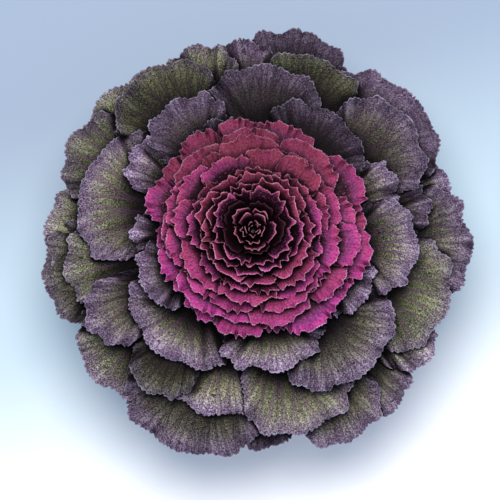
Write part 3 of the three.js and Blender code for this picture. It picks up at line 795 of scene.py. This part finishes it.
def core_mesh():
    """The slim axis inside the heart, up to the top of the stem."""
    foot = heart_foot()
    profile = [(0, SOIL_HEIGHT + foot + FIT_GAP)]
    profile += [(stem_radius(height), SOIL_HEIGHT + height + FIT_GAP)
                for height in np.linspace(foot, STEM_TOP, 20)]
    profile += [(0, SOIL_HEIGHT + STEM_TOP + 2 * FIT_GAP)]
    return turned_mesh("heart_core", profile, 32)


# ---------------------------------------------------------------- Geometry Nodes

def scatter_tree(name, material):
    """Loose grains on the upward faces of a surface."""
    tree = bpy.data.node_groups.new(name, "GeometryNodeTree")
    sockets = tree.interface
    sockets.new_socket("Geometry", in_out="INPUT", socket_type="NodeSocketGeometry")
    for size_name, kind in (("Grain size", "Float"), ("Density", "Float"), ("Seed", "Int")):
        sockets.new_socket(size_name, in_out="INPUT", socket_type=f"NodeSocket{kind}")
    sockets.new_socket("Geometry", in_out="OUTPUT", socket_type="NodeSocketGeometry")
    given = add_node(tree, "NodeGroupInput").outputs

    normal = add_node(tree, "GeometryNodeInputNormal").outputs[0]
    upward = add_node(tree, "ShaderNodeSeparateXYZ", {0: normal}).outputs["Z"]
    is_top = add_node(tree, "FunctionNodeCompare", {0: upward, 1: 0.7},
                      data_type="FLOAT", operation="GREATER_THAN").outputs[0]
    points = add_node(tree, "GeometryNodeDistributePointsOnFaces", {
        "Mesh": given["Geometry"], "Selection": is_top,
        "Density": given["Density"], "Seed": given["Seed"],
    }).outputs["Points"]
    grain = add_node(tree, "GeometryNodeMeshIcoSphere", {"Radius": 1.0, "Subdivisions": 1})
    position = add_node(tree, "GeometryNodeInputPosition").outputs[0]
    lumps = add_node(tree, "ShaderNodeTexNoise", {"Vector": position, "Scale": 1.3})
    centred = add_node(tree, "ShaderNodeVectorMath", {0: lumps.outputs["Color"], 1: (0.5, 0.5, 0.5)},
                       operation="SUBTRACT").outputs[0]
    crumb = add_node(tree, "GeometryNodeSetPosition", {
        "Geometry": grain.outputs["Mesh"], "Offset": centred,
    }).outputs[0]
    turn = add_node(tree, "FunctionNodeRandomValue", {
        "Min": (0, 0, 0), "Max": (6.3, 6.3, 6.3), "Seed": given["Seed"],
    }, data_type="FLOAT_VECTOR").outputs[0]
    share = add_node(tree, "FunctionNodeRandomValue", {2: 0.35, 3: 1.0, "Seed": given["Seed"]},
                     data_type="FLOAT").outputs[1]
    size = add_node(tree, "ShaderNodeMath", {0: share, 1: given["Grain size"]},
                    operation="MULTIPLY").outputs[0]
    grains = add_node(tree, "GeometryNodeInstanceOnPoints", {
        "Points": points, "Instance": crumb, "Rotation": turn, "Scale": size,
    }).outputs[0]
    loose = add_node(tree, "GeometryNodeRealizeInstances", {0: grains}).outputs[0]
    finished = add_node(tree, "GeometryNodeSetMaterial", {0: loose, "Material": material})
    add_node(tree, "NodeGroupOutput", {0: finished.outputs[0]})
    return tree


def scattered(name, surface, material, grain_mm, per_cm2, seed):
    """A piece of loose grains strewn over the soil's surface."""
    tree = scatter_tree(name, material)
    modifier = surface.modifiers.new(name, "NODES")
    modifier.node_group = tree
    values = {"Grain size": grain_mm / 2 * MM, "Density": per_cm2 * 1e4, "Seed": seed}
    for socket in tree.interface.items_tree:
        if socket.in_out == "INPUT" and socket.name in values:
            modifier[socket.identifier] = values[socket.name]
    evaluated = surface.evaluated_get(bpy.context.evaluated_depsgraph_get())
    mesh = bpy.data.meshes.new_from_object(evaluated)
    surface.modifiers.remove(modifier)
    mesh.name = name
    return add_piece(name, mesh, material, "potting_soil")


# ---------------------------------------------------------------- materials

# Places of the two colours and of the result on a Mix node that mixes colours.
COLOR_A, COLOR_B, COLOR_OUT = 6, 7, 2

# The large veins and their forks. Each holds how far along the blade it leaves the vein before
# it, how far it leans aside, in shares of the large veins' spacing, and its width in millimetres.
VEIN_FORKS = [(0, 0, 0.42), (0.05, 0.43, 0.32), (0.4, 0.17, 0.26), (0.6, 0.08, 0.2)]
FORKS_END = 1.25
VEIN_WOBBLE = 0.3

# How many times wider than a vein the valley is that it lies in, which is darkened with painted
# shade.
VALLEY_WIDTHS = 4.5


def new_material(name):
    material = bpy.data.materials.new(name)
    material.use_nodes = True
    material.node_tree.nodes.clear()
    return material, material.node_tree


def finish_shader(tree, color, roughness, height, height_mm, **constants):
    """The surface shader. height is a pattern from 0 to 1 that stands up by height_mm."""
    bump = add_node(tree, "ShaderNodeBump", {
        "Strength": 1.0, "Distance": height_mm * MM, "Height": height,
    }).outputs[0]
    inputs = {"Base Color": color, "Roughness": roughness, "Normal": bump}
    inputs.update({name.replace("_", " "): value for name, value in constants.items()})
    shader = add_node(tree, "ShaderNodeBsdfPrincipled", inputs)
    add_node(tree, "ShaderNodeOutputMaterial", {"Surface": shader.outputs[0]})


def coordinates(tree):
    """The X, Y and Z of a place, in metres."""
    place = add_node(tree, "ShaderNodeTexCoord").outputs["Object"]
    return add_node(tree, "ShaderNodeSeparateXYZ", {0: place}).outputs


def grains(tree, size_mm, detail=2.0, roughness=0.5):
    """A cloudy pattern from 0 to 1 whose features have about the given size."""
    place = add_node(tree, "ShaderNodeTexCoord").outputs["Object"]
    return add_node(tree, "ShaderNodeTexNoise", {
        "Vector": place, "Scale": 1 / (size_mm * MM), "Detail": detail, "Roughness": roughness,
    }).outputs["Fac"]


def product(tree, *factors):
    """The product of factors. Each is a number, a pattern, or a range of a pattern's values
    that leads smoothly from one number to another: (pattern, low, high, first, last)."""
    result = None
    for factor in factors:
        if isinstance(factor, tuple):
            pattern, low, high, first, last = factor
            factor = add_node(tree, "ShaderNodeMapRange", {
                "Value": pattern, "From Min": low, "From Max": high, "To Min": first, "To Max": last,
            }, interpolation_type="SMOOTHSTEP").outputs[0]
        if result is None:
            result = factor
        else:
            result = add_node(tree, "ShaderNodeMath", {0: result, 1: factor},
                              operation="MULTIPLY").outputs[0]
    return result


def added_up(tree, total, *parts):
    """Adds parts to a total, each as a pattern and its weight."""
    for pattern, weight in parts:
        total = add_node(tree, "ShaderNodeMath", {0: pattern, 1: weight, 2: total},
                         operation="MULTIPLY_ADD").outputs[0]
    return total


def coated(tree, color, *coats):
    """Lays coats over a colour. Each is a colour and the factors of its share, from 0 to 1.
    A share below 0 takes the coat's colour away, so that a dark coat brightens."""
    for coat, *factors in coats:
        color = add_node(tree, "ShaderNodeMix", {
            0: product(tree, *factors), COLOR_A: color, COLOR_B: coat,
        }, data_type="RGBA", clamp_factor=False).outputs[COLOR_OUT]
    return color


def shaded_folds(tree, color, deepest, reach_mm, closed, clear):
    """Deepens a colour in the clefts between leaves, where light hardly reaches."""
    openness = add_node(tree, "ShaderNodeAmbientOcclusion", {"Distance": reach_mm * MM},
                        samples=8).outputs["AO"]
    return coated(tree, color, (deepest, (openness, closed, clear, 1.0, 0.0)))


def leaf_reading(tree):
    """The leaf's own coordinates and facts, as sockets."""
    parts = {}
    for name, keys in (("leaf_place", ("fan", "along", "rim_mm")),
                       ("leaf_growth", ("green", "tone", "half_rim_mm")),
                       ("leaf_face", ("upper", "depth", "dim"))):
        vector = add_node(tree, "ShaderNodeAttribute", attribute_name=name).outputs["Vector"]
        split = add_node(tree, "ShaderNodeSeparateXYZ", {0: vector})
        for key, socket in zip(keys, split.outputs):
            parts[key] = socket
    return SimpleNamespace(**parts)


def leaf_veins(tree, leaf, widen=1.0):
    """Veins that fan out from the foot of the blade and fork towards its rim, from 0 to 1.
    widen draws them that many times wider."""
    place = added_up(tree, -0.5 * VEIN_WOBBLE,
                     (leaf.fan, 1 / VEIN_SPACING), (grains(tree, 18), VEIN_WOBBLE))
    aside = add_node(tree, "ShaderNodeMath", {0: place, 1: 0.5}, operation="PINGPONG").outputs[0]
    spacing_mm = product(tree, leaf.half_rim_mm, leaf.along, VEIN_SPACING)
    veins = 0.0
    for start, lean, width_mm in VEIN_FORKS:
        leaning = product(tree, (leaf.along, start, FORKS_END, 0.0, lean))
        apart = added_up(tree, aside, (leaning, -1.0))
        aside = add_node(tree, "ShaderNodeMath", {0: apart}, operation="ABSOLUTE").outputs[0]
        distance_mm = product(tree, aside, spacing_mm)
        width_mm *= widen
        vein = product(tree, (distance_mm, 0.3 * width_mm, 1.4 * width_mm, 1.0, 0.0))
        veins = add_node(tree, "ShaderNodeMath", {0: veins, 1: vein}, operation="MAXIMUM").outputs[0]
    return veins


def vein_net(tree, cell_mm):
    """The net of fine veins between the larger ones, from 0 to 1. A kale leaf's cells are about
    1 mm, too fine to show, so they are drawn as coarse as they need to."""
    place = add_node(tree, "ShaderNodeTexCoord").outputs["Object"]
    ripples = add_node(tree, "ShaderNodeTexNoise", {
        "Vector": place, "Scale": 1 / (2 * cell_mm * MM), "Detail": 2.0,
    }).outputs["Color"]
    place = add_node(tree, "ShaderNodeVectorMath", {0: ripples, 1: (cell_mm * MM,) * 3, 2: place},
                     operation="MULTIPLY_ADD").outputs[0]
    edge = add_node(tree, "ShaderNodeTexVoronoi", {"Vector": place, "Scale": 1 / (cell_mm * MM)},
                    feature="DISTANCE_TO_EDGE").outputs["Distance"]
    return product(tree, (edge, 0.03, 0.16, 1.0, 0.0))


def outer_leaf_material():
    """Kale leaf under a matt wax bloom: grey-purple towards the rim, olive green inside."""
    material, tree = new_material("kale leaf, waxy grey-purple")
    leaf = leaf_reading(tree)
    back = coordinates(tree)["Y"]
    clouds = product(tree, (grains(tree, 30), 0.35, 0.65, 0.0, 1.0))
    patches = grains(tree, 8, 3.0, 0.6)
    # The grains of wax are finer, and are drawn as coarse as they need to show.
    mottle = grains(tree, 1.1, 3.0, 0.6)
    specks = grains(tree, 3, 0.0)
    veins = leaf_veins(tree, leaf)
    # Painted shade along the valleys of the veins.
    vein_valley_shade = leaf_veins(tree, leaf, VALLEY_WIDTHS)
    net = vein_net(tree, 2.8)

    # How far inside the purple margin a place is. The greener a leaf, the narrower its margin.
    inside = added_up(tree, leaf.rim_mm, (patches, 24.0), (mottle, 20.0), (leaf.green, 24.0))
    green = product(tree, (inside, 35.0, 61.0, 0.0, 1.0))

    grey = coated(tree, "#827479", ("#c0b0b5", clouds))
    olive = coated(tree, "#747a56", ("#b9b98e", clouds))
    fresh = coated(tree, "#616f42", ("#a3ac76", clouds))
    middle = coated(
        tree, grey,
        (olive, (leaf.green, 0.1, 0.55, 0.0, 1.0)),
        (fresh, (leaf.green, 0.6, 0.85, 0.0, 1.0)),
    )
    margin = coated(
        tree, "#806b89",
        ("#bba4c4", (patches, 0.35, 0.65, 0.0, 1.0)),
        ("#3d2f48", (leaf.rim_mm, 2.0, 12.0, 0.4, 0.0)),
    )
    waxy = coated(tree, "#d4bfda", ("#d0cab0", green))
    bare = coated(tree, "#2c1f2b", ("#26281a", green))
    vein_color = coated(tree, "#6a406c", ("#2e1428", (leaf.tone, 0.5, 1.0, 0.0, 1.0)))
    upper = coated(
        tree, margin,
        (middle, green),
        (waxy, (mottle, 0.51, 0.6, 0.0, 0.68), (green, 0.0, 1.0, 0.75, 1.0)),
        (bare, (mottle, 0.49, 0.4, 0.0, 0.82)),
        # Painted shade: the blade sinks towards its veins, and is painted darker there.
        ("#1c131c", vein_valley_shade, 0.2),
        ("#33243a", net, 0.25),
        ("#1a1216", (specks, 0.77, 0.8, 0.0, 0.8)),
        # The duller a leaf, partly with age and partly painted shade, the darker. Leaves at the back
        # are the darkest, with painted shade.
        ("#050405", leaf.tone, (leaf.rim_mm, 2.0, 24.0, 0.4, 0.6)),
        ("#050405", (back, -20 * MM, 90 * MM, 0.0, 0.36)),
        # Painted shade darkens the foot of the blade. A painted highlight, a pale line broken here
        # and there, edges the rim.
        ("#100a0c", (leaf.along, 0.4, 0.92, 0.97, 0.0)),
        (vein_color, veins, (leaf.along, 0.6, 1.0, 0.65, 0.45)),
        ("#b0a4bc", (leaf.rim_mm, 0.5, 1.3, 1.0, 0.0), (patches, 0.35, 0.65, 0.3, 1.0),
         (leaf.tone, 0.3, 1.6, 1.0, 0.65)),
    )
    under = coated(tree, "#6e6274", ("#747c62", green), ("#a59a8f", veins))
    color = coated(tree, under, (upper, leaf.upper))
    color = shaded_folds(tree, color, "#090608", 50, 0.5, 0.95)
    color = shaded_folds(tree, color, "#090608", 14, 0.35, 0.95)

    height = added_up(tree, mottle, (net, -0.6), (veins, -0.4))
    roughness = product(tree, (patches, 0.3, 0.7, 0.58, 0.75))
    finish_shader(tree, color, roughness, height, 0.5, Specular_IOR_Level=0.06)
    return material


def heart_leaf_material():
    """Coloured kale leaf: magenta at the ruffled rim with a painted violet sheen and brick red below
    it, and painted shade, near black, further in.
    """
    material, tree = new_material("kale leaf, waxy magenta")
    leaf = leaf_reading(tree)
    back = coordinates(tree)["Y"]
    clouds = grains(tree, 30)
    patches = grains(tree, 7, 3.0, 0.6)
    # The grains of wax are finer, and are drawn as coarse as they need to show.
    mottle = grains(tree, 1.4, 3.0, 0.6)
    veins = leaf_veins(tree, leaf)

    # Warmer towards the growing tip, and each leaf with a tone of its own. Redder at the back, which
    # is painted shade.
    warmth = product(tree, (back, -70 * MM, 70 * MM, 0.0, 0.42))
    warmth = added_up(tree, warmth, (leaf.depth, 0.2), (leaf.tone, 0.18), (clouds, 0.7))
    warm = product(tree, (warmth, 0.35, 1.05, 0.0, 1.0))
    dull = product(tree, (leaf.tone, 0.45, 0.75, 0.0, 1.0))
    brick = coated(tree, "#82285a", ("#7a2c3c", warm))
    bright = coated(tree, "#a6317f", ("#9a3854", warm), (brick, dull, 0.6))
    # A violet band inside the coloured rim: a painted sheen of the bluish light, brick red on dull
    # leaves.
    deep = coated(tree, "#742868", ("#6c284a", warm), (brick, dull))

    # The coloured band along the rim is narrower on the leaves nearer the tip.
    band = product(tree, (leaf.depth, 0.0, 0.9, 1.8, 0.46), (leaf.tone, 0.0, 1.0, 0.7, 1.3))
    inside = add_node(tree, "ShaderNodeMath", {0: leaf.rim_mm, 1: band}, operation="DIVIDE")
    inside = added_up(tree, inside.outputs[0], (patches, 6.0))
    # A painted highlight: the pale line along the rim, broken here and there.
    rim_highlight = coated(
        tree, "#c8a2c2",
        ("#c88aa2", (leaf.depth, 0.0, 0.3, 0.0, 1.0)),
        ("#a87c78", (leaf.depth, 0.7, 1.1, 0.0, 1.0)),
    )
    upper = coated(
        tree, bright,
        (deep, (inside, 5.0, 10.0, 0.0, 1.0)),
        ("#cc6a9c", veins, 0.16),
        # Painted shade: past the coloured band the leaf goes near black.
        ("#0f0308", (inside, 9.5, 16.0, 0.0, 1.0)),
        ("#4d1029", (mottle, 0.49, 0.36, 0.0, 0.65)),
        ("#b45a94", (mottle, 0.53, 0.66, 0.0, 0.4)),
        (rim_highlight, (leaf.rim_mm, 0.4, 1.1, 0.85, 0.0), (patches, 0.35, 0.6, 0.35, 1.0),
         (mottle, 0.42, 0.56, 0.45, 1.1)),
    )
    under = coated(
        tree, "#8e3a62",
        ("#4d2230", (leaf.rim_mm, 3.0, 14.0, 0.0, 1.0)),
        ("#b98494", veins),
    )
    color = coated(
        tree, under,
        (upper, leaf.upper),
        # Painted shade: the leaves at the back are darker.
        ("#060103", (back, 0.0, 80 * MM, 0.0, 0.46)),
        # Painted shade: the dim whorls go near black between the coloured ones.
        ("#0c0306", leaf.dim, 0.9),
    )
    color = shaded_folds(tree, color, "#0d0307", 13, 0.35, 0.93)

    height = added_up(tree, mottle, (veins, -0.4))
    roughness = product(tree, (patches, 0.3, 0.7, 0.5, 0.66))
    finish_shader(tree, color, roughness, height, 0.25, Specular_IOR_Level=0.1)
    return material


def core_material():
    """The dark wine-red axis that the heart's leaves hide."""
    material, tree = new_material("kale axis, dark wine red")
    color = coated(tree, "#14060b", ("#2b0f1a", grains(tree, 3)))
    finish_shader(tree, color, 0.7, grains(tree, 2), 0.3)
    return material


def stalk_material():
    """Green kale stalk, corky where old leaves have dropped."""
    material, tree = new_material("kale stalk, green and corky")
    cork = grains(tree, 6, 3.0, 0.6)
    color = coated(tree, "#8d9a68", ("#8a7656", (cork, 0.4, 0.62, 0.0, 1.0)))
    finish_shader(tree, color, 0.7, grains(tree, 2), 0.5)
    return material


def compost_material():
    """Moist peat compost, nearly black between brown fibres."""
    material, tree = new_material("peat compost, moist")
    fibres = grains(tree, 2.5, 4.0, 0.7)
    color = coated(tree, "#1d130d", ("#4a3424", (fibres, 0.4, 0.65, 0.0, 1.0)))
    finish_shader(tree, color, 0.95, grains(tree, 1.5, 3.0, 0.7), 0.8)
    return material


def perlite_material():
    """Expanded perlite grit, white and crumbly."""
    material, tree = new_material("perlite grit, white")
    color = coated(tree, "#d8d4cb", ("#f2efe8", grains(tree, 1.5)))
    finish_shader(tree, color, 0.9, grains(tree, 0.8), 0.3)
    return material


def clay_material():
    """Fired unglazed clay, with lime bloom low on the wall and faint throwing lines."""
    material, tree = new_material("terracotta, fired and unglazed")
    place = add_node(tree, "ShaderNodeTexCoord").outputs["Object"]
    rings = add_node(tree, "ShaderNodeMapping", {
        "Vector": place, "Scale": (0.03, 0.03, 1),
    }).outputs[0]
    throwing = add_node(tree, "ShaderNodeTexNoise", {
        "Vector": rings, "Scale": 1 / (2.4 * MM), "Detail": 3.0,
    }).outputs["Fac"]
    clouds = grains(tree, 24, 4.0, 0.6)
    grit = grains(tree, 1.2, 2.0, 0.7)
    damp = product(tree, (coordinates(tree)["Z"], 0.0, 70 * MM, 0.16, 0.0))
    lime = added_up(tree, clouds, (damp, 1.0))
    color = coated(
        tree, "#a9583a",
        ("#c4714c", (clouds, 0.35, 0.65, 0.0, 1.0)),
        ("#d9c3b2", (lime, 0.5, 0.9, 0.0, 0.36)),
        ("#7c3f2a", (grit, 0.66, 0.74, 0.0, 0.5)),
    )
    height = added_up(tree, throwing, (grit, 0.35))
    finish_shader(tree, color, 0.88, height, 0.35, Specular_IOR_Level=0.3)
    return material


def paper_material():
    """Studio paper, pale blue at the back, and whiter towards the front and the right with painted
    light.
    """
    material, tree = new_material("studio paper, pale blue to white")
    place = coordinates(tree)
    # Painted light whitens the paper towards the front and the right.
    back = added_up(tree, place["Y"], (place["X"], -0.25))
    color = coated(
        tree, "#ffffff",
        ("#b6cad5", (back, -260 * MM, 0.0, 0.0, 1.0)),
        ("#92a0b2", (back, -20 * MM, 200 * MM, 0.0, 1.0)),
    )
    finish_shader(tree, color, 0.9, grains(tree, 1.0), 0.02, Specular_IOR_Level=0.1)
    return material


# ---------------------------------------------------------------- the plant

MATERIALS = SimpleNamespace(
    outer=outer_leaf_material(), heart=heart_leaf_material(), stalk=stalk_material(),
    core=core_material(), compost=compost_material(), perlite=perlite_material(),
    clay=clay_material(),
)
LEAVES = make_leaves()

for leaf in LEAVES:
    if leaf.whorl < SEPARATE_WHORLS:
        outer = leaf.whorl < OUTER_WHORLS
        add_piece(f"{leaf.name}_blade", leaves_mesh(leaf.name, [leaf]),
                  MATERIALS.outer if outer else MATERIALS.heart,
                  "outer_leaf" if outer else "heart_leaf", leaf.name)

for whorl in range(SEPARATE_WHORLS, BUD_WHORLS + TIP_WHORLS):
    whorl_leaves = [leaf for leaf in LEAVES if leaf.whorl == whorl]
    add_piece(f"heart_whorl_{whorl + 1}", leaves_mesh("heart_whorl", whorl_leaves),
              MATERIALS.heart, "heart_leaf", "heart")

add_piece("heart_core", core_mesh(), MATERIALS.core, "heart_leaf", "heart")
pot = add_piece("clay_pot", pot_mesh(), MATERIALS.clay, "clay", "pot")
bore_drains(pot)
compost = add_piece("compost", soil_mesh(), MATERIALS.compost, "potting_soil", "soil")
scattered("compost_crumbs", compost, MATERIALS.compost, grain_mm=4.5, per_cm2=9, seed=11)
scattered("compost_fines", compost, MATERIALS.compost, grain_mm=2.2, per_cm2=16, seed=12)
scattered("perlite", compost, MATERIALS.perlite, grain_mm=3.0, per_cm2=0.9, seed=13)
add_piece("stalk", stem_mesh(), MATERIALS.stalk, "stem_bark", "stem")


# ---------------------------------------------------------------- floor, light and camera

def add_stage():
    bpy.ops.mesh.primitive_plane_add(size=8)
    floor = bpy.context.active_object
    floor.name = "studio_floor"
    floor.data.materials.append(paper_material())


def add_lamp(name, place, target, size, watts, color):
    lamp = bpy.data.lights.new(name, "AREA")
    lamp.shape = "DISK"
    lamp.size = size
    lamp.energy = watts
    lamp.color = hex_color(color)[:3]
    holder = bpy.data.objects.new(name, lamp)
    bpy.context.scene.collection.objects.link(holder)
    holder.location = place
    holder.rotation_euler = (Vector(target) - Vector(place)).to_track_quat("-Z", "Y").to_euler()


def add_sky(color, strength):
    world = bpy.data.worlds.new("studio air")
    bpy.context.scene.world = world
    world.use_nodes = True
    background = world.node_tree.nodes["Background"]
    background.inputs["Color"].default_value = hex_color(color)
    background.inputs["Strength"].default_value = strength


# The camera stands nearly overhead, far off, on a long lens. Its picture takes in that width at
# the target.
CAMERA_ELEVATION = math.radians(82)
CAMERA_DISTANCE = 1.8
CAMERA_TARGET = Vector((-2.3, -17.2, SOIL_HEIGHT + 115)) * MM
FRAME_WIDTH_AT_TARGET = 386.5 * MM


def add_camera():
    data = bpy.data.cameras.new("camera")
    data.lens = data.sensor_width * CAMERA_DISTANCE / FRAME_WIDTH_AT_TARGET
    camera = bpy.data.objects.new("camera", data)
    bpy.context.scene.collection.objects.link(camera)
    away = Vector((0, -math.cos(CAMERA_ELEVATION), math.sin(CAMERA_ELEVATION)))
    camera.location = CAMERA_TARGET + CAMERA_DISTANCE * away
    camera.rotation_euler = (-away).to_track_quat("-Z", "Y").to_euler()
    bpy.context.scene.camera = camera


add_stage()
add_sky("#d2e0fb", 0.88)
add_lamp("key light", (-0.035, 0.22, 1.68), (0, 0, 0.15), size=0.84, watts=30.5, color="#fff9ef")
add_camera()
bpy.context.scene.view_settings.view_transform = "Standard"
